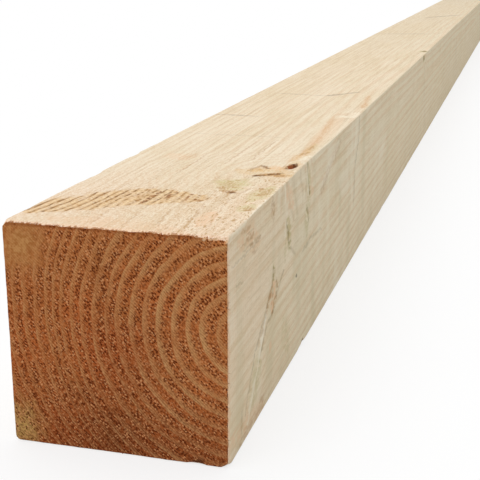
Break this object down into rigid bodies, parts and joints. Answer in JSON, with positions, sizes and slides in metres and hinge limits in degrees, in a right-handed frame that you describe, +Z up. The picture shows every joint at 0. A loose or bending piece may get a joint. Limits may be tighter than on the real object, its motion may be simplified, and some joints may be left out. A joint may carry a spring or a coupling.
{
  "type": "sawn timber",
  "caption": "Square-sawn softwood timber, crosscut at both ends, with worn arrises, a bark pocket and a short split; stock for posts, bearers and frames",
  "frame": {"origin": "middle of the bottom face, on the floor", "axes": "+X to the right across the section, +Y along the stick away from the pictured end, +Z up"},
  "size_m": [0.1, 2.4, 0.102],
  "materials": {
    "sawn_softwood": "rough sawn long faces, with brown crosscut end grain"
  },
  "bodies": {
    "root": {"sawn_timber": "sawn_softwood"}
  },
  "joints": []
}
